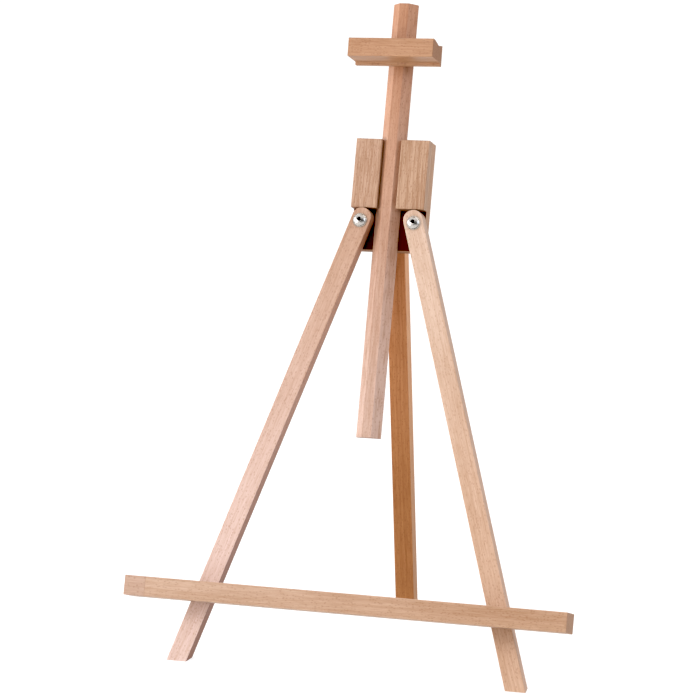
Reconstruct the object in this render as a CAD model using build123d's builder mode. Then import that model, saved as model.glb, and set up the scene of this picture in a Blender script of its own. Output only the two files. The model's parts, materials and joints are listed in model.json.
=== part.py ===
# A folding tabletop easel of beech: two front legs and a hinged rear leg under a head, a mast that
# slides in the head, a canvas holder near the mast's top and a ledge across the front legs.
#
# Millimetres, +Z up. The origin is on the table, in the middle of the space that the easel takes up.
# The frame leans back, so most pieces are drawn in the frame's own directions: x across, v up the
# front face of the legs and w back through it. v is 0 at the table and w is 0 on that front face.
from build123d import *
import os
from math import cos, sin, tan, radians

# ---------------------------------------------------------------- driving dimensions
lean = 20.0                # how far the frame leans back from upright, degrees
splay = 17.9               # each front leg from the middle line, degrees
rear_open = 25.0           # between the frame and the rear leg when the easel stands, degrees
ease = 0.7                 # radius of the sanded edges of the wooden pieces
gap = 0.2                  # air between faces that slide over each other
thin_gap = 0.05            # air beside a washer

leg_width = 20.0
leg_thick = 14.0
rear_leg_thick = 15.0
pivot_x = 28.0             # the bolt that a front leg turns on
pivot_v = 456.4
tip_past_pivot = 13.5      # a front leg's rounded top, beyond its bolt

head_turn = 0.45           # the head stands slightly turned on the leg bolts, degrees
head_x = -1.7              # and its middle and its mast are a little left of their middle
mast_x = -3.0
head_half_width = 38.3
head_top = 541.0
plate_thick = 14.0
plate_bottom = 429.0

block_thick = 11.5
block_bottom = 470.4
guide_half_width = 10.0    # from the mast's middle line to a block's inner edge

mast_width = 25.6
mast_flat = 9.6            # width of the mast's front face, between its bevels
mast_thick = 9.8
mast_bottom = 238.5
mast_length = 443.0

holder_width = 88.6
holder_depth = 36.0
holder_v = 627.0
holder_turn = 1.3          # it stands slightly turned on its screw, degrees
holder_above = 10.5        # from the screw up to its top's front edge
holder_below = 11.0        # and down to its lip
rabbet_depth = 2.9         # cut from its underside, from the front back to the lip
lip_thick = 6.5
groove_depth = 2.8         # the shallow V in its top
groove_start = 7.0         # from the front face
groove_bottom = 21.0       # where the V is deepest, from the front face

ledge_length = 455.0
ledge_height = 20.0
ledge_depth = 31.0
ledge_v = 70.5

bolt_r = 3.0
running_r = 3.08           # a hole that turns on such a bolt
bolt_head_r = 6.0
bolt_head_rim = 0.8
bolt_head_rise = 3.2
socket_across = 4.0
socket_deep = 2.2
washer_r = 7.2
washer_thick = 1.0
nut_across = 10.0
nut_thick = 5.0
thread_past_nut = 1.5

insert_r = 4.5
insert_length = 13.0
hub_r = 6.0
hub_length = 9.0
wing_root_r = 3.0
wing_tip_r = 3.4
wing_tip_x = 9.3
wing_tip_rise = 10.5
wing_thick = 2.8
lock_v = 519.0

hinge_width = 24.0
hinge_reach = 17.0
leaf_thick = 1.2
knuckle_r = 2.2
pin_r = 1.0
pin_hole_r = 1.06
pin_clear = 2.4            # from the pin's axis to the wood on either side
knuckle_half = 4.0         # half the length of the middle knuckle
rear_heel_v = 458.5        # where the open rear leg's front edge meets the head plate

leaf_screw_r = 1.1
leaf_screw_head_r = 2.1    # countersunk at 90 degrees
leaf_screw_length = 9.0
leaf_screw_x = 7.0
leaf_screw_drops = (6.5, 12.5)

block_screw_r = 1.75
block_screw_head_r = 3.6
block_screw_head = 2.2
block_screw_length = 23.0  # under its head
block_screw_x = 25.0
block_screw_v = (486.0, 524.0)

holder_screw_r = 2.0
holder_screw_head_r = 3.8  # countersunk at 90 degrees
holder_screw_length = 30.0

recess_span = 3.6          # the cross in a screw's head
recess_width = 0.9
recess_deep = 1.1

# ---------------------------------------------------------------- places that follow from them
plate_front = leg_thick + washer_thick + thin_gap
plate_back = plate_front + plate_thick
block_front = plate_front - block_thick
mast_back = plate_front - gap
mast_front = mast_back - mast_thick
mast_bevel = (mast_width - mast_flat) / 2
holder_back = mast_front - gap
ledge_back = -gap
ledge_bolt_x = pivot_x + (pivot_v - ledge_v) * tan(radians(splay))
hinge_v = rear_heel_v - pin_clear / tan(radians(rear_open) / 2)
hinge_w = plate_back + pin_clear

up = Vector(0, sin(radians(lean)), cos(radians(lean)))
back = Vector(0, cos(radians(lean)), -sin(radians(lean)))

# The easel reaches from the ledge's lower front edge to the back of the mast's top.
nearest_y = (up * (ledge_v - ledge_height / 2) + back * (ledge_back - ledge_depth)).Y
furthest_y = (up * (mast_bottom + mast_length) + back * mast_back).Y
front_y = -(nearest_y + furthest_y) / 2


def rightwards(turn):
    """The direction across the frame, turned anticlockwise as the viewer sees it."""
    return Vector(cos(radians(turn)), 0, 0) + up * sin(radians(turn))


def upwards(turn):
    """The direction up the frame, turned likewise."""
    return up * cos(radians(turn)) - Vector(sin(radians(turn)), 0, 0)


def place(x, v, w, turn=0):
    """The point x across, v up the frame and w back from the legs' front face. With a turn, x and
    v are measured in the turned head, which keeps the point midway between its leg bolts."""
    middle = Vector(0, front_y, 0) + up * pivot_v + back * w
    return middle + rightwards(turn) * x + upwards(turn) * (v - pivot_v)


def layer(w, turn=0):
    """A drawing plane parallel to the frame and facing the viewer: its X is x and its Y is v."""
    return Plane(origin=place(0, 0, w, turn), x_dir=rightwards(turn), z_dir=-back)


def across(v, turn=0):
    """A drawing plane square to the mast, facing up it: its X is x and its Y is w."""
    return Plane(origin=place(0, v, 0, turn), x_dir=rightwards(turn), z_dir=upwards(turn))


def fastener(x, v, w, turn=0):
    """A drawing plane centred on a fastener's axis and facing the back."""
    return Plane(origin=place(x, v, w, turn), x_dir=rightwards(turn), z_dir=back)


def axis_at(x, v, turn=0):
    """The line through the frame at x and v, along which bolts and screws run."""
    return Axis(origin=place(x, v, 0, turn), direction=back)


def hinge_section(x, turned):
    """A drawing plane across the hinge at x: its origin is the pin and its X leads away from the
    head plate (turned = 0) or into the rear leg (turned = rear_open)."""
    turn = radians(turned)
    return Plane(
        origin=place(x, hinge_v, hinge_w),
        x_dir=back * cos(turn) + up * sin(turn),
        z_dir=(1, 0, 0),
    )


def cross_recess():
    """The outline of the cross in a screw's head."""
    Rectangle(recess_span, recess_width)
    Rectangle(recess_width, recess_span)


def finish(name, piece):
    piece.label = name
    export_step(piece, "parts/" + name + ".step")


os.makedirs("parts", exist_ok=True)


# ---------------------------------------------------------------- front legs
def front_leg(name, side):
    """A flat leg with a rounded top, which turns on its bolt; its foot is sawn level."""
    tip_centre = tip_past_pivot - leg_width / 2
    reach = pivot_v / cos(radians(splay)) + 2 * leg_width
    with BuildPart() as leg:
        with BuildSketch(layer(0)):
            with Locations(Location((side * pivot_x, pivot_v), 90 + side * splay)):
                with Locations(((tip_centre - reach) / 2, 0)):
                    SlotCenterToCenter(reach + tip_centre, leg_width)
        extrude(amount=-leg_thick)
        flat_faces = leg.faces().sort_by(axis_at(0, 0))
        fillet(flat_faces[0].edges() + flat_faces[-1].edges(), ease)
        split(bisect_by=Plane.XY, keep=Keep.TOP)
        with BuildSketch(layer(0)):
            with Locations((side * pivot_x, pivot_v), (side * ledge_bolt_x, ledge_v)):
                Circle(running_r)
        extrude(amount=-leg_thick, mode=Mode.SUBTRACT)
    finish(name, leg.part)


front_leg("left_leg", -1)
front_leg("right_leg", 1)

# ---------------------------------------------------------------- head
block_screw_places = [(head_x + s * block_screw_x, v) for s in (-1, 1) for v in block_screw_v]
leaf_screw_places = [(s * leaf_screw_x, d) for s in (-1, 1) for d in leaf_screw_drops]

with BuildPart() as head_plate:
    with BuildSketch(layer(plate_front, head_turn)):
        with Locations((head_x, (plate_bottom + head_top) / 2)):
            Rectangle(2 * head_half_width, head_top - plate_bottom)
    extrude(amount=-plate_thick)
    fillet(head_plate.edges(), ease)
    with BuildSketch(layer(plate_front, head_turn)):
        with Locations((mast_x, lock_v)):
            Circle(insert_r)
        with Locations(*block_screw_places):
            Circle(block_screw_r)
    extrude(amount=-plate_thick, mode=Mode.SUBTRACT)
    with BuildSketch(layer(plate_front)):
        with Locations((-pivot_x, pivot_v), (pivot_x, pivot_v)):
            Circle(bolt_r)
    extrude(amount=-plate_thick, mode=Mode.SUBTRACT)
    with BuildSketch(layer(plate_back)):
        with Locations(*[(x, hinge_v - drop) for x, drop in leaf_screw_places]):
            Circle(leaf_screw_r)
    extrude(amount=leaf_screw_length - leaf_thick, mode=Mode.SUBTRACT)
finish("head_plate", head_plate.part)


def head_block(name, side):
    """A block beside the mast; its undercut inner edge holds the mast in."""
    edge = mast_x + side * guide_half_width
    shoulder = mast_x + side * (mast_width / 2 + gap)
    outer = head_x + side * head_half_width
    undercut_start = mast_front + guide_half_width - mast_flat / 2 - gap
    undercut_end = undercut_start + abs(shoulder - edge)
    with BuildPart() as block:
        with BuildSketch(across(block_bottom, head_turn)):
            with BuildLine():
                Polyline(
                    (edge, block_front),
                    (outer, block_front),
                    (outer, plate_front),
                    (shoulder, plate_front),
                    (shoulder, undercut_end),
                    (edge, undercut_start),
                    close=True,
                )
            make_face()
        extrude(amount=head_top - block_bottom)
        fillet(block.faces().sort_by(axis_at(0, 0))[0].edges(), ease)
        with BuildSketch(layer(plate_front, head_turn)):
            with Locations(*[(head_x + side * block_screw_x, v) for v in block_screw_v]):
                Circle(block_screw_r)
        extrude(amount=block_screw_length - plate_thick, mode=Mode.SUBTRACT)
    finish(name, block.part)


head_block("left_head_block", -1)
head_block("right_head_block", 1)

with BuildPart() as head_block_screws:
    with BuildSketch(layer(plate_back, head_turn)):
        with Locations(*block_screw_places):
            Circle(block_screw_head_r)
    extrude(amount=-block_screw_head)
    fillet(head_block_screws.faces().sort_by(axis_at(0, 0))[-4:].edges(), block_screw_head * 0.6)
    with BuildSketch(layer(plate_back, head_turn)):
        with Locations(*block_screw_places):
            Circle(block_screw_r)
    extrude(amount=block_screw_length)
    with BuildSketch(layer(plate_back + block_screw_head, head_turn)):
        with Locations(*block_screw_places):
            cross_recess()
    extrude(amount=recess_deep, mode=Mode.SUBTRACT)
finish("head_block_screws", head_block_screws.part)


# ---------------------------------------------------------------- leg pivots
def pivot_bolt(name, side):
    """A domed socket bolt from the front, through washer, leg, spacer washer and head plate."""
    x = side * pivot_x
    head_base = -washer_thick - thin_gap
    shank_end = plate_back + nut_thick + thread_past_nut
    with BuildPart() as bolt:
        with BuildSketch(across(pivot_v)):
            with BuildLine():
                Polyline(
                    (x, head_base - bolt_head_rise),
                    (x, shank_end),
                    (x + bolt_r, shank_end),
                    (x + bolt_r, head_base),
                    (x + bolt_head_r, head_base),
                    (x + bolt_head_r, head_base - bolt_head_rim),
                )
                TangentArc(
                    (x, head_base - bolt_head_rise),
                    (x + bolt_head_r, head_base - bolt_head_rim),
                    tangent=(1, 0),
                    tangent_from_first=True,
                )
            make_face()
        revolve(axis=axis_at(x, pivot_v))
        with BuildSketch(fastener(x, pivot_v, head_base - bolt_head_rise)):
            RegularPolygon(socket_across / 2, 6, major_radius=False)
        extrude(amount=socket_deep, mode=Mode.SUBTRACT)
    finish(name, bolt.part)


def washer(name, x, v, w):
    """A flat washer whose front face is at w."""
    with BuildPart() as ring:
        with BuildSketch(fastener(x, v, w)):
            Circle(washer_r)
            Circle(running_r, mode=Mode.SUBTRACT)
        extrude(amount=washer_thick)
        chamfer(ring.edges().filter_by(GeomType.CIRCLE).sort_by(SortBy.RADIUS)[-2:], washer_thick / 4)
    finish(name, ring.part)


def pivot_nut(name, side):
    """A hexagon nut on the back of the head plate."""
    with BuildPart() as nut:
        with BuildSketch(fastener(side * pivot_x, pivot_v, plate_back)):
            RegularPolygon(nut_across / 2, 6, major_radius=False)
            Circle(bolt_r, mode=Mode.SUBTRACT)
        extrude(amount=nut_thick)
    finish(name, nut.part)


for side, hand in ((-1, "left"), (1, "right")):
    pivot_bolt(hand + "_pivot_bolt", side)
    washer(hand + "_pivot_front_washer", side * pivot_x, pivot_v, -washer_thick - thin_gap)
    washer(hand + "_pivot_spacer_washer", side * pivot_x, pivot_v, leg_thick + thin_gap)
    pivot_nut(hand + "_pivot_nut", side)

# ---------------------------------------------------------------- mast
with BuildPart() as mast:
    with BuildSketch(across(mast_bottom, head_turn)):
        with BuildLine():
            Polyline(
                (mast_x - mast_flat / 2, mast_front),
                (mast_x + mast_flat / 2, mast_front),
                (mast_x + mast_width / 2, mast_front + mast_bevel),
                (mast_x + mast_width / 2, mast_back),
                (mast_x - mast_width / 2, mast_back),
                (mast_x - mast_width / 2, mast_front + mast_bevel),
                close=True,
            )
        make_face()
    extrude(amount=mast_length)
    ends = mast.faces().sort_by(Axis(origin=(0, 0, 0), direction=upwards(head_turn)))
    chamfer(ends[0].edges() + ends[-1].edges(), ease / 2)
    with Locations(fastener(mast_x, holder_v, mast_back, head_turn)):
        CounterSinkHole(holder_screw_r + gap, holder_screw_head_r + 2 * gap, counter_sink_angle=90)
finish("mast", mast.part)

# ---------------------------------------------------------------- canvas holder
holder_middle = place(mast_x, holder_v, 0, head_turn)
holder_end = Plane(
    origin=holder_middle - rightwards(holder_turn) * (holder_width / 2),
    x_dir=back,
    z_dir=rightwards(holder_turn),
)

with BuildPart() as canvas_holder:
    holder_front = holder_back - holder_depth
    lip_front = holder_back - lip_thick
    with BuildSketch(holder_end):
        with BuildLine():
            Polyline(
                (holder_front, rabbet_depth - holder_below),
                (lip_front, rabbet_depth - holder_below),
                (lip_front + ease, -holder_below),
                (holder_back, -holder_below),
                (holder_back, holder_above),
                (holder_front + groove_bottom, holder_above - groove_depth),
                (holder_front + groove_start, holder_above),
                (holder_front, holder_above),
                close=True,
            )
        make_face()
    extrude(amount=holder_width)
    flat_faces = canvas_holder.faces().sort_by(axis_at(0, 0))
    fillet(flat_faces[0].edges() + flat_faces[-1].edges(), ease)
    with BuildSketch(fastener(mast_x, holder_v, holder_back, head_turn)):
        Circle(holder_screw_r)
    extrude(amount=-(holder_screw_length - mast_thick - gap), mode=Mode.SUBTRACT)
finish("canvas_holder", canvas_holder.part)

head_w = mast_back - gap
tip_w = mast_back - holder_screw_length

with BuildPart() as holder_screw:
    with BuildSketch(across(holder_v, head_turn)):
        with BuildLine():
            Polyline(
                (mast_x, head_w),
                (mast_x + holder_screw_head_r, head_w),
                (mast_x + holder_screw_r, head_w - (holder_screw_head_r - holder_screw_r)),
                (mast_x + holder_screw_r, tip_w),
                (mast_x, tip_w),
                close=True,
            )
        make_face()
    revolve(axis=axis_at(mast_x, holder_v, head_turn))
    with BuildSketch(fastener(mast_x, holder_v, head_w, head_turn)):
        cross_recess()
    extrude(amount=-recess_deep, mode=Mode.SUBTRACT)
finish("holder_screw", holder_screw.part)

# ---------------------------------------------------------------- ledge
with BuildPart() as canvas_ledge:
    with BuildSketch(layer(ledge_back)):
        with Locations((0, ledge_v)):
            Rectangle(ledge_length, ledge_height)
    extrude(amount=ledge_depth)
    fillet(canvas_ledge.edges(), ease)
    with BuildSketch(layer(ledge_back)):
        with Locations((-ledge_bolt_x, ledge_v), (ledge_bolt_x, ledge_v)):
            Circle(insert_r)
    extrude(amount=insert_length, mode=Mode.SUBTRACT)
finish("canvas_ledge", canvas_ledge.part)


# ---------------------------------------------------------------- wing bolts and their inserts
def threaded_insert(name, x, v, w, length, turn=0):
    """A brass sleeve let into the wood, from w towards the back."""
    with BuildPart() as sleeve:
        with BuildSketch(fastener(x, v, w, turn)):
            Circle(insert_r)
            Circle(running_r, mode=Mode.SUBTRACT)
        extrude(amount=length)
    finish(name, sleeve.part)


def wing_bolt(name, x, v, w, reach, turn=0):
    """A thumb bolt whose hub stands at w; its shank reaches forward from there."""
    with BuildPart() as bolt:
        with BuildSketch(fastener(x, v, w, turn)):
            Circle(hub_r)
        extrude(amount=hub_length, taper=7)
        fillet(bolt.faces().sort_by(axis_at(0, 0))[-1].edges(), 1.5)
        for wing_side in (-1, 1):
            with BuildSketch(across(v, turn)):
                with Locations((x + wing_side * wing_root_r, w + wing_root_r + 0.5)):
                    Circle(wing_root_r)
                with Locations((x + wing_side * wing_tip_x, w + wing_tip_rise)):
                    Circle(wing_tip_r)
                make_hull()
            extrude(amount=wing_thick / 2, both=True)
        with BuildSketch(fastener(x, v, w, turn)):
            Circle(bolt_r)
        extrude(amount=-reach)
        chamfer(bolt.faces().sort_by(axis_at(0, 0))[0].edges(), 0.5)
    finish(name, bolt.part)


bolt_seat = leg_thick + washer_thick + 2 * thin_gap
bolt_depth_in_ledge = insert_length - 1
threaded_insert("left_ledge_insert", -ledge_bolt_x, ledge_v, ledge_back - insert_length, insert_length)
threaded_insert("right_ledge_insert", ledge_bolt_x, ledge_v, ledge_back - insert_length, insert_length)
threaded_insert("mast_lock_insert", mast_x, lock_v, plate_front, plate_thick, head_turn)
washer("left_ledge_washer", -ledge_bolt_x, ledge_v, leg_thick + thin_gap)
washer("right_ledge_washer", ledge_bolt_x, ledge_v, leg_thick + thin_gap)
wing_bolt("left_ledge_wing_bolt", -ledge_bolt_x, ledge_v, bolt_seat, bolt_seat + bolt_depth_in_ledge)
# The right bolt is drawn backed off to the leg's front, so that the ledge is free to swing.
wing_bolt("right_ledge_wing_bolt", ledge_bolt_x, ledge_v, bolt_seat, bolt_seat - gap)
lock_seat = plate_back + 2
lock_reach = lock_seat - mast_back - thin_gap
wing_bolt("mast_lock_wing_bolt", mast_x, lock_v, lock_seat, lock_reach, head_turn)

# ---------------------------------------------------------------- rear leg and its hinge
def leaf_face(turned, side, depth):
    """A plane facing the pin, at depth from it: on the head plate's side (-1) or the leg's (1)."""
    section = hinge_section(0, turned)
    return Plane(
        origin=section.origin + section.x_dir * side * depth,
        x_dir=(1, 0, 0),
        z_dir=section.x_dir * -side,
    )


def leaf_screw_spots(side):
    return [(x, -side * drop) for x, drop in leaf_screw_places]


with BuildPart() as rear_leg:
    with BuildSketch(hinge_section(-leg_width / 2, rear_open)):
        with Locations((pin_clear + rear_leg_thick / 2, 0)):
            Rectangle(rear_leg_thick, 2 * head_top)
    extrude(amount=leg_width)
    fillet(rear_leg.edges().filter_by(Axis((0, 0, 0), hinge_section(0, rear_open).y_dir)), ease)
    split(bisect_by=layer(plate_back + thin_gap), keep=Keep.BOTTOM)
    split(bisect_by=Plane.XY, keep=Keep.TOP)
    with BuildSketch(leaf_face(rear_open, 1, pin_clear)):
        with Locations(*leaf_screw_spots(1)):
            Circle(leaf_screw_r)
    extrude(amount=-(leaf_screw_length - leaf_thick), mode=Mode.SUBTRACT)
finish("rear_leg", rear_leg.part)


def hinge_leaf(name, turned, side, hole_r, cuts):
    """Half of a butt hinge below its pin. The other half's knuckles fill the cuts, given as
    stretches along the pin from its middle."""
    with BuildPart() as leaf:
        with BuildSketch(hinge_section(-hinge_width / 2, turned)):
            Circle(knuckle_r)
            with Locations((side * (pin_clear - leaf_thick / 2), -hinge_reach / 2)):
                Rectangle(leaf_thick, hinge_reach)
        extrude(amount=hinge_width)
        for start, end in cuts:
            with BuildSketch(hinge_section(start, turned)):
                Rectangle(2 * (pin_clear + gap), 2 * (pin_clear + gap))
            extrude(amount=end - start, mode=Mode.SUBTRACT)
        with BuildSketch(hinge_section(-hinge_width / 2, turned)):
            Circle(hole_r)
        extrude(amount=hinge_width, mode=Mode.SUBTRACT)
        with Locations(leaf_face(turned, side, pin_clear - leaf_thick)):
            with Locations(*leaf_screw_spots(side)):
                CounterSinkHole(leaf_screw_r, leaf_screw_head_r, counter_sink_angle=90)
    finish(name, leaf.part)


def leaf_screws(name, turned, side):
    """The four countersunk screws of a hinge leaf, flush with it."""
    with BuildPart() as screws:
        with Locations(leaf_face(turned, side, pin_clear - leaf_thick)):
            with Locations(*leaf_screw_spots(side)):
                Cylinder(leaf_screw_r, leaf_screw_length, align=(Align.CENTER, Align.CENTER, Align.MAX))
                Cone(
                    leaf_screw_r,
                    leaf_screw_head_r,
                    leaf_screw_head_r - leaf_screw_r,
                    align=(Align.CENTER, Align.CENTER, Align.MAX),
                )
    finish(name, screws.part)


pin_end = hinge_width / 2 + gap
outer_cuts = ((-pin_end, gap - knuckle_half), (knuckle_half - gap, pin_end))
hinge_leaf("hinge_leaf_on_head", 0, -1, pin_r, ((-knuckle_half, knuckle_half),))
hinge_leaf("hinge_leaf_on_rear_leg", rear_open, 1, pin_hole_r, outer_cuts)
leaf_screws("hinge_screws_in_head", 0, -1)
leaf_screws("hinge_screws_in_rear_leg", rear_open, 1)

with BuildPart() as hinge_pin:
    with BuildSketch(hinge_section(-hinge_width / 2, 0)):
        Circle(pin_r)
    extrude(amount=hinge_width)
finish("hinge_pin", hinge_pin.part)
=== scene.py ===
import json
from math import cos, radians, sin

import bpy
from mathutils import Matrix, Vector

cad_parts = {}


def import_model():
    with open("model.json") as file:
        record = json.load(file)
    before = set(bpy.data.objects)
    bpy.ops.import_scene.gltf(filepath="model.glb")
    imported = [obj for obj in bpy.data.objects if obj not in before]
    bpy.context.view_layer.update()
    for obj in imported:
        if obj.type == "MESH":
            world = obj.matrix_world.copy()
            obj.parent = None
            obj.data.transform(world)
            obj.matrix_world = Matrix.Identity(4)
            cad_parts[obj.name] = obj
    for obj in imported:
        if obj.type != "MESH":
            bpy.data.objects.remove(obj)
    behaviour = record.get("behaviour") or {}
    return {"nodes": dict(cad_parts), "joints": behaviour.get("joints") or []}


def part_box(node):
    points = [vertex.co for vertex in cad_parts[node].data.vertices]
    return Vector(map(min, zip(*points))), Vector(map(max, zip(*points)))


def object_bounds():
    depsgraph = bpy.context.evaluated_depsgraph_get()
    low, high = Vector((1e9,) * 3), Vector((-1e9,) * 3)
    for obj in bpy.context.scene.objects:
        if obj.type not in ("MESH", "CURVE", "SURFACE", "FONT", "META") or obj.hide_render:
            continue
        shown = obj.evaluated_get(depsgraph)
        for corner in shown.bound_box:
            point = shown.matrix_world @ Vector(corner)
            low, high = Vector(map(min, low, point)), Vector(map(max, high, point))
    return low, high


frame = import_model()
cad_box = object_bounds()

# A folding beech tabletop easel. The CAD nodes keep their shapes; this script gives them their
# woods and metals, and sets the studio round them. Lengths are metres.
NODES = frame["nodes"]
JOINTS = {joint["name"]: joint for joint in frame["joints"]}
MM = 0.001

ACROSS = Vector((1, 0, 0))
FRAME_UP = Vector(JOINTS["mast_slide"]["axis"])
FRAME_FRONT = ACROSS.cross(FRAME_UP)
FROM_METRES = (1 / MM, 1 / MM, 1 / MM)
WHITE = (1, 1, 1)


# ---------------------------------------------------------------- node trees
class Tree:
    """One material's node tree. Its methods add a node and give back the node's output."""

    def __init__(self, name):
        self.material = bpy.data.materials.new(name)
        self.material.use_nodes = True
        self.tree = self.material.node_tree
        self.shader = self.tree.nodes["Principled BSDF"]
        self.coordinates = self.tree.nodes.new("ShaderNodeTexCoord")

    def node(self, kind, inputs, **settings):
        made = self.tree.nodes.new("ShaderNode" + kind)
        for name, value in settings.items():
            setattr(made, name, value)
        for socket, value in inputs.items():
            self.put(made.inputs[socket], value)
        return made

    def put(self, socket, value):
        if isinstance(value, bpy.types.NodeSocket):
            self.tree.links.new(value, socket)
        else:
            socket.default_value = value

    def math(self, operation, *values, clamp=False):
        inputs = dict(enumerate(values))
        return self.node("Math", inputs, operation=operation, use_clamp=clamp).outputs[0]

    def vector(self, operation, *values):
        made = self.node("VectorMath", dict(enumerate(values)), operation=operation)
        return made.outputs["Value" if operation in ("DOT_PRODUCT", "LENGTH") else "Vector"]

    def split(self, vector):
        return self.node("SeparateXYZ", {0: vector}).outputs[:3]

    def join(self, x, y, z):
        return self.node("CombineXYZ", {0: x, 1: y, 2: z}).outputs[0]

    def noise(self, vector, detail=3.0, roughness=0.5, distortion=0.0):
        inputs = {"Vector": vector, "Scale": 1.0, "Detail": detail, "Roughness": roughness}
        return self.node("TexNoise", {**inputs, "Distortion": distortion}).outputs["Fac"]

    def cells(self, vector):
        """Distance to the nearest cell's middle, and a random number for that cell."""
        made = self.node("TexVoronoi", {"Vector": vector, "Scale": 1.0})
        return made.outputs["Distance"], self.split(made.outputs["Color"])[0]

    def ease(self, value, low, high, to_low=0.0, to_high=1.0):
        """A smooth step from to_low, where value is low, to to_high, where it is high."""
        inputs = {"Value": value, "From Min": low, "From Max": high, "To Min": to_low, "To Max": to_high}
        return self.node("MapRange", inputs, interpolation_type="SMOOTHSTEP").outputs["Result"]

    def even(self, noise):
        """A noise moved down, so that it swings as far below 0 as above it."""
        return self.math("SUBTRACT", noise, 0.5)

    def add(self, total, *layers, clamp=False):
        """total and then, one after another, each layer's value times its weight."""
        for value, weight in layers:
            total = self.math("MULTIPLY_ADD", value, weight, total, clamp=clamp)
        return total

    def mix(self, share, a, b, blend="MIX"):
        made = self.node("Mix", {}, data_type="RGBA", blend_type=blend)
        self.put(made.inputs[0], share)
        self.put(made.inputs[6], a)
        self.put(made.inputs[7], b)
        return made.outputs[2]

    def tint(self, colour, by):
        """The colour, multiplied by another one."""
        return self.mix(1.0, colour, by, blend="MULTIPLY")

    def bump(self, height, depth):
        """Dents in the surface: height 1 stands depth above height 0."""
        return self.node("Bump", {"Height": height, "Distance": depth, "Strength": 1.0}).outputs["Normal"]

    def surface(self, colour, roughness, normal):
        self.put(self.shader.inputs["Base Color"], colour)
        self.put(self.shader.inputs["Roughness"], roughness)
        self.put(self.shader.inputs["Normal"], normal)


def opaque(colour):
    return (*colour, 1)


def dress(tree, *names):
    """Puts the tree's material on these CAD nodes."""
    for name in names:
        for slot in NODES[name].material_slots:
            slot.material = tree.material


# ---------------------------------------------------------------- beech
# How fast each pattern changes along the grain and across it, per millimetre.
FINE_FIBRES = (0.07, 1.3, 1.3)
BROAD_FIBRES = (0.006, 0.34, 0.34)
CLOUDS = (0.012, 0.05, 0.05)
PORES = (0.35, 5.2, 5.2)
RUBBING = (0.05, 0.3, 0.3)

# Millimetres.
YEAR = 4.0
STEM_WANDER = 14.0
RAY_HEIGHT, RAY_WIDTH, RAY_LENGTH = 3.4, 0.75, 9.0
SEED_STEP = 517.0
GLUED_ON_STEP = 31.0
GRAIN_DEPTH = 0.05

# Tints of the wood's mean colour.
PALE = (1.16, 1.21, 1.27, 1)
DEEP = (0.80, 0.70, 0.60, 1)
FLECK = (0.58, 0.43, 0.31, 1)
END_GRAIN = (0.85, 0.82, 0.8, 1)
GLUED_ON = (0.93, 0.92, 0.96, 1)


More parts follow.
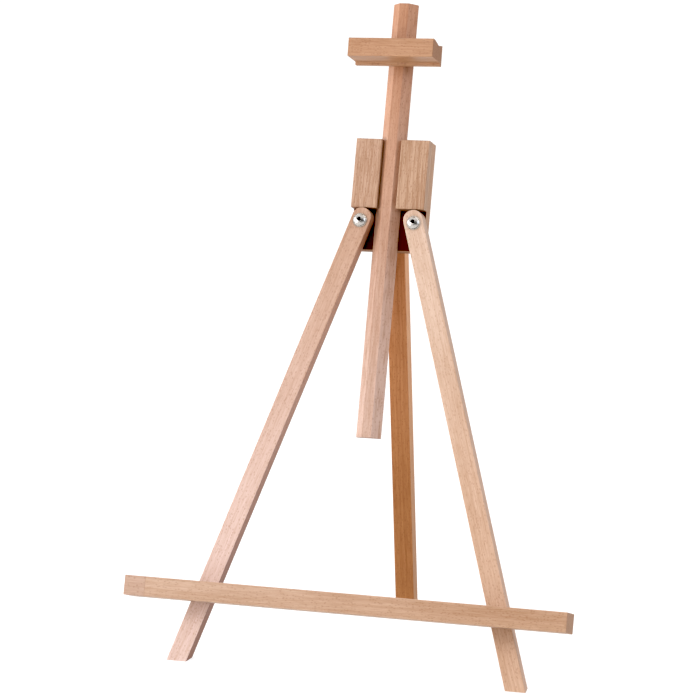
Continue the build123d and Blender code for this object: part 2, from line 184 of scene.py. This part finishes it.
def beech(node, along, face, start, end, seed, pith=(60, 25), streaks=1.0, edges=(WHITE, WHITE),
          front_shade=WHITE, gloss=0.4, joint=None):
    """Beech for one piece.

    along, face: the way the grain runs, and the way the piece's widest face looks
    start, end: the wood's mean colour at the two ends of the grain; the drift between them is partly the
    wood's own tone and partly painted light
    seed: which part of the log the piece is cut from
    pith: how far to the side of and behind the piece the log's middle stood, in millimetres
    streaks: how strong the grain's lines are
    edges: tints of the narrow sides, at the start and the end: painted light and shade on those sides
    front_shade: tint of the front face, painted shade of a recess
    gloss: the shader's specular level
    joint: how far from the start, in millimetres, a short length of wood is glued on
    """
    tree = Tree("beech_of_" + node)
    along = along.normalized()
    side = face.cross(along).normalized()
    into_log = Matrix((along, side, along.cross(side))).to_euler()
    low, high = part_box(node)
    middle = (low + high) / 2
    reach = sum(abs(span * part) for span, part in zip(high - low, along)) / 2 / MM

    # Millimetres along the grain, across the face and through the piece.
    centred = tree.vector("SUBTRACT", tree.coordinates.outputs["Object"], middle)
    down_the_grain = tree.vector("DOT_PRODUCT", centred, along / MM)
    turned = tree.node("Mapping", {"Vector": centred, "Rotation": into_log}).outputs[0]
    log = tree.vector("MULTIPLY", turned, FROM_METRES)
    log = tree.vector("ADD", log, (seed * SEED_STEP, 0, 0))
    if joint:
        from_joint = tree.math("SUBTRACT", down_the_grain, joint - reach)
        glued_on = tree.ease(from_joint, 0.05, -0.05)
        glue_line = tree.ease(tree.math("ABSOLUTE", from_joint), 0.5, 0.15)
        log = tree.vector("ADD", log, tree.join(0.0, tree.math("MULTIPLY", glued_on, GLUED_ON_STEP), 0.0))
    a, b, c = tree.split(log)

    # The stem wanders a little along its length, so the rings do too.
    drift = tree.noise(tree.join(tree.math("MULTIPLY", a, 0.006), seed * 3.1, 0.0), detail=2)
    sway = tree.noise(tree.join(tree.math("MULTIPLY", a, 0.005), seed * 5.7, 9.0), detail=2)
    b_log = tree.add(tree.math("ADD", b, pith[0]), (drift, STEM_WANDER))
    c_log = tree.add(tree.math("ADD", c, pith[1]), (sway, STEM_WANDER))
    radius = tree.vector("LENGTH", tree.join(b_log, c_log, 0.0))
    angle = tree.math("ARCTAN2", c_log, b_log)
    round_the_stem = tree.math("MULTIPLY", angle, Vector(pith).length)

    # Growth rings: each darkens slowly, then ends in a thin line.
    uneven = tree.noise(tree.join(tree.math("MULTIPLY", radius, 0.12), seed * 2.3, 4.0), detail=2)
    years = tree.add(tree.math("DIVIDE", radius, YEAR), (uneven, 3.0))
    season = tree.math("FRACT", years)
    late = tree.math("MULTIPLY", tree.ease(season, 0.35, 0.95), tree.ease(season, 1.0, 0.96))

    # Long fibres, fine and broad, and slow changes of tone down the board.
    fine = tree.noise(tree.vector("MULTIPLY", log, FINE_FIBRES), detail=5, roughness=0.7)
    broad = tree.noise(tree.vector("MULTIPLY", log, BROAD_FIBRES), detail=3, distortion=0.3)
    cloud = tree.noise(tree.vector("MULTIPLY", log, CLOUDS), detail=2)

    # Rays: upright ribbons that run out from the pith. They show as short dark spindles on a face
    # cut along the rings, as bars on a face cut across them, and as fine lines on the end grain.
    ray_place = tree.join(
        tree.math("DIVIDE", a, RAY_HEIGHT),
        tree.math("DIVIDE", round_the_stem, RAY_WIDTH),
        tree.math("DIVIDE", radius, RAY_LENGTH),
    )
    near, lot = tree.cells(ray_place)
    ray = tree.math("MULTIPLY", tree.ease(near, 0.42, 0.22), tree.ease(lot, 0.25, 0.45))

    # Pores: hair-thin open vessels.
    pore_near, pore_lot = tree.cells(tree.vector("MULTIPLY", log, PORES))
    pore = tree.math("MULTIPLY", tree.ease(pore_near, 0.3, 0.12), tree.ease(pore_lot, 0.4, 0.6))

    # How far the surface shows end grain, a sawn edge or the front, and how far it is a rounded
    # edge that has been rubbed pale by wear, with a painted highlight where light catches it.
    normal = tree.coordinates.outputs["Normal"]
    facing = [tree.math("ABSOLUTE", tree.vector("DOT_PRODUCT", normal, d)) for d in (along, side, face)]
    end_grain = tree.ease(facing[0], 0.55, 0.9)
    sawn_edge = tree.ease(facing[1], 0.75, 0.97)
    front = tree.ease(tree.vector("DOT_PRODUCT", normal, face), 0.75, 0.97)
    flattest = tree.math("MAXIMUM", tree.math("MAXIMUM", facing[0], facing[1]), facing[2])
    rubbed = tree.noise(tree.vector("MULTIPLY", log, RUBBING), detail=4)
    wear_and_highlight = tree.math("MULTIPLY", tree.ease(flattest, 0.97, 0.8), tree.ease(rubbed, 0.3, 0.62))

    # Tone 0 is the palest wood and tone 1 the deepest.
    fibres = (tree.even(fine), 2.4 * streaks), (tree.even(broad), 1.1 * streaks)
    grain = tree.add(0.0, *fibres, (late, 0.22 * streaks), (tree.even(cloud), 0.8))
    tone = tree.math("ADD", grain, 0.42, clamp=True)
    tone = tree.add(tone, (end_grain, 0.4), (wear_and_highlight, -0.5), clamp=True)

    # The mean colour drifts from start to end: partly the wood's own tone, partly painted light.
    drifted = tree.ease(down_the_grain, -reach, reach)
    mean = tree.mix(drifted, opaque(start), opaque(end))
    fleck = tree.tint(mean, FLECK)
    colour = tree.mix(tone, tree.tint(mean, PALE), tree.tint(mean, DEEP))
    colour = tree.mix(tree.math("MULTIPLY", ray, 0.4), colour, fleck)
    colour = tree.mix(tree.math("MULTIPLY", pore, 0.22), colour, fleck)
    edge_tint = tree.mix(drifted, opaque(edges[0]), opaque(edges[1]))
    # The side tints and the front tint paint light and shade; the end grain's tint is the wood's own.
    for tint, share in ((edge_tint, sawn_edge), (opaque(front_shade), front), (END_GRAIN, end_grain)):
        colour = tree.mix(share, colour, tree.tint(colour, tint))
    if joint:
        colour = tree.mix(glued_on, colour, tree.tint(colour, GLUED_ON))
        colour = tree.mix(tree.math("MULTIPLY", glue_line, 0.4), colour, fleck)

    rough = tree.add(0.4, (fine, 0.16), (ray, -0.07), (end_grain, 0.15), (wear_and_highlight, -0.08))
    height = tree.add(0.0, (fine, 0.5), (pore, -0.6), (ray, -0.25))
    tree.surface(colour, rough, tree.bump(height, GRAIN_DEPTH * MM))
    tree.shader.inputs["Specular IOR Level"].default_value = gloss
    dress(tree, node)


def leg_direction(hand):
    """Down a front leg, from the bolt that it turns on to the bolt of the ledge."""
    pivot = Vector(JOINTS[hand + "_leg_fold"]["pos_m"])
    down = Vector(JOINTS[hand + "_ledge_bolt_turn"]["pos_m"]) - pivot
    return down - FRAME_FRONT * down.dot(FRAME_FRONT)


# Each piece's tone at the two ends of its grain: legs from the head down, ledge and holder from
# left to right, the rest from the bottom up. Where the ends differ, the drift is partly the wood's own
# tone and partly painted light.
# The legs' side tints are painted light and shade: the left leg's inner side darkens towards its foot,
# the right leg's sides are greyer and cooler, the rear leg's sides paler and cooler.
beech("left_leg", leg_direction("left"), FRAME_FRONT, (0.39, 0.235, 0.16), (0.55, 0.40, 0.35), 1,
      streaks=0.7, edges=((0.92, 0.79, 0.72), (0.41, 0.24, 0.16)))
beech("right_leg", leg_direction("right"), FRAME_FRONT, (0.48, 0.33, 0.245), (0.49, 0.31, 0.21), 2,
      streaks=0.8, edges=((0.80, 0.74, 0.70), (0.80, 0.74, 0.70)))
beech("mast", FRAME_UP, FRAME_FRONT, (0.43, 0.28, 0.215), (0.36, 0.17, 0.09), 3,
      pith=(35, 80), streaks=0.85)

# The folded rear leg lies along the frame, so at rest it stands turned by its whole range.
rear_turn = Matrix.Rotation(radians(JOINTS["rear_leg_fold"]["range_deg"][1]), 3, ACROSS)
rear_up = rear_turn @ FRAME_UP
rear_front = rear_turn @ FRAME_FRONT
beech("rear_leg", rear_up, rear_front, (0.30, 0.122, 0.038), (0.47, 0.205, 0.085), 4,
      edges=((1.1, 1.17, 1.17), (1.1, 1.17, 1.17)))

beech("canvas_ledge", ACROSS, FRAME_FRONT, (0.40, 0.26, 0.18), (0.40, 0.24, 0.15), 5,
      streaks=0.8, joint=22)
beech("canvas_holder", ACROSS, FRAME_FRONT, (0.345, 0.18, 0.096), (0.345, 0.18, 0.096), 6)
beech("left_head_block", FRAME_UP, FRAME_FRONT, (0.36, 0.215, 0.14), (0.36, 0.215, 0.14), 7, streaks=1.9)
beech("right_head_block", FRAME_UP, FRAME_FRONT, (0.355, 0.21, 0.13), (0.355, 0.21, 0.13), 8, streaks=1.7)
# The plate's front is tinted dark red-brown: painted shade of the recess between the legs, the mast and
# the blocks.
beech("head_plate", FRAME_UP, FRAME_FRONT, (0.37, 0.22, 0.14), (0.37, 0.22, 0.14), 9,
      front_shade=(0.15, 0.045, 0.015), gloss=0.12)


# ---------------------------------------------------------------- metals
SOCKET_SHADE = (0.015, 0.012, 0.01, 1)
MARK_DEPTH = 0.012


def metal(name, nodes, colour, dull, roughness, tarnish=0.35, socket=None):
    """Plated or turned metal, with handling smudges and duller patches.

    colour, dull: the clean metal, and the metal under its patches
    tarnish: how strong the patches are
    socket: the radius in millimetres of the painted shade in the socket at the front of a single bolt's
    head
    """
    tree = Tree(name)
    place = tree.vector("MULTIPLY", tree.coordinates.outputs["Object"], FROM_METRES)
    smudge = tree.noise(tree.vector("MULTIPLY", place, (0.45, 0.45, 0.45)), detail=5, roughness=0.6)
    speck = tree.noise(tree.vector("MULTIPLY", place, (4.0, 4.0, 4.0)), detail=4, roughness=0.7)
    patch = tree.math("MULTIPLY", tree.ease(smudge, 0.42, 0.68), tarnish)
    dulled = tree.add(patch, (tree.ease(speck, 0.5, 0.7), tarnish * 0.4), clamp=True)
    rough = tree.add(roughness, (dulled, 0.28), (tree.even(speck), 0.1))
    tint = tree.mix(dulled, opaque(colour), opaque(dull))
    # Painted shade: inside the socket of the bolt's head the metal is darkened, and it is also made
    # rougher.
    if socket:
        middle = sum(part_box(nodes[0]), Vector()) / 2 / MM
        from_middle = tree.vector("SUBTRACT", place, middle)
        off_axis = tree.vector("LENGTH", tree.vector("CROSS_PRODUCT", from_middle, FRAME_FRONT))
        forward = tree.vector("DOT_PRODUCT", from_middle, FRAME_FRONT)
        inside = tree.ease(off_axis, socket + 0.2, socket - 0.2)
        socket_shade = tree.math("MULTIPLY", inside, tree.ease(forward, 0.0, 1.0))
        tint = tree.mix(socket_shade, tint, SOCKET_SHADE)
        rough = tree.add(rough, (socket_shade, 0.4))
    tree.surface(tint, rough, tree.bump(speck, MARK_DEPTH * MM))
    tree.shader.inputs["Metallic"].default_value = 1.0
    dress(tree, *nodes)


def named(*words):
    """The CAD nodes whose name holds one of these words."""
    return [name for name in NODES if any(word in name for word in words)]


NICKEL = {"colour": (0.52, 0.49, 0.46), "dull": (0.30, 0.28, 0.25), "roughness": 0.18}
metal("nickel", named("_bolt", "_nut"), **NICKEL)
metal("washer_nickel", named("washer"), (0.40, 0.35, 0.30), (0.14, 0.12, 0.10), 0.24, tarnish=0.6)
for hand in ("left", "right"):
    metal(hand + "_bolt_nickel", [hand + "_pivot_bolt"], socket=2.05, **NICKEL)
metal("zinc", named("screw"), (0.48, 0.49, 0.50), (0.28, 0.28, 0.27), 0.3)
metal("brass", named("insert", "hinge_leaf", "hinge_pin"), (0.78, 0.56, 0.24), (0.42, 0.27, 0.1), 0.26)


# ---------------------------------------------------------------- studio
def area_light(name, power, width, place, aim, colour=WHITE):
    data = bpy.data.lights.new(name, "AREA")
    data.shape = "RECTANGLE"
    data.size = width
    data.size_y = width
    data.energy = power
    data.color = colour
    lamp = bpy.data.objects.new(name, data)
    lamp.location = place
    lamp.rotation_euler = (Vector(aim) - Vector(place)).to_track_quat("-Z", "Y").to_euler()
    bpy.context.scene.collection.objects.link(lamp)


def floor(width):
    """A matt floor that glows a little, so that it stays white in the easel's shadow."""
    bpy.ops.mesh.primitive_plane_add(size=width, location=(0, 0, 0))
    plane = bpy.context.object
    plane.name = "floor"
    tree = Tree("pale_floor")
    tree.shader.inputs["Base Color"].default_value = (0.3, 0.3, 0.3, 1)
    tree.shader.inputs["Roughness"].default_value = 0.9
    tree.shader.inputs["Specular IOR Level"].default_value = 0.1
    tree.shader.inputs["Emission Color"].default_value = opaque(WHITE)
    tree.shader.inputs["Emission Strength"].default_value = 0.76
    plane.data.materials.append(tree.material)


def world(room, backdrop):
    """A white backdrop and ceiling behind and over the easel, and a dim room before it."""
    made = bpy.data.worlds.new("studio")
    made.use_nodes = True
    nodes = made.node_tree.nodes
    links = made.node_tree.links
    direction = nodes.new("ShaderNodeTexCoord")
    share = nodes.new("ShaderNodeVectorMath")
    share.operation = "DOT_PRODUCT"
    share.inputs[1].default_value = (0, 0.6, 0.8)
    links.new(direction.outputs["Generated"], share.inputs[0])
    fade = nodes.new("ShaderNodeMapRange")
    fade.interpolation_type = "SMOOTHSTEP"
    links.new(share.outputs["Value"], fade.inputs["Value"])
    for socket, value in {"From Min": -0.1, "From Max": 0.6, "To Min": room, "To Max": backdrop}.items():
        fade.inputs[socket].default_value = value
    background = nodes["Background"]
    background.inputs["Color"].default_value = opaque(WHITE)
    links.new(fade.outputs["Result"], background.inputs["Strength"])
    bpy.context.scene.world = made


def camera(azimuth, elevation, roll, distance, focal, aim):
    """A camera that looks at aim from an azimuth, elevation and distance, tipped by roll."""
    a, e, r = radians(azimuth), radians(elevation), radians(roll)
    ahead = Vector((-sin(a) * cos(e), cos(a) * cos(e), -sin(e)))
    level = Vector((cos(a), sin(a), 0))
    above = level.cross(ahead)
    right = level * cos(r) + above * sin(r)
    top = above * cos(r) - level * sin(r)
    data = bpy.data.cameras.new("camera")
    data.sensor_width = 36
    data.lens = focal
    data.clip_end = 100
    made = bpy.data.objects.new("camera", data)
    turn = Matrix((right, top, -ahead)).transposed().to_4x4()
    made.matrix_world = Matrix.Translation(aim - ahead * distance) @ turn
    bpy.context.scene.collection.objects.link(made)
    bpy.context.scene.camera = made


def grade(black):
    """The photograph's hard contrast: anything darker than black turns black."""
    view = bpy.context.scene.view_settings
    view.view_transform = "Standard"
    view.use_curve_mapping = True
    view.curve_mapping.black_level = (black, black, black)
    view.curve_mapping.update()


floor(60)
world(room=0.15, backdrop=1.3)
easel_middle = sum(cad_box, Vector()) / 2
area_light("left_softbox", 28, 0.9, (-1.5, -1.25, 0.6), easel_middle)
area_light("top_softbox", 29, 1.0, (-0.3, -1.9, 2.2), easel_middle)
area_light("left_window", 18, 1.2, (-2.3, -0.2, 0.9), easel_middle, (0.93, 0.98, 1.06))
area_light("right_window", 16, 1.5, (2.2, -0.5, 1.3), easel_middle, (0.85, 0.95, 1.1))
camera(
    azimuth=17.1087,
    elevation=12.8813,
    roll=-0.2842,
    distance=3.2481,
    focal=173.62,
    aim=Vector((0.0074, -0.1192, 0.3329)),
)
grade(black=0.03)
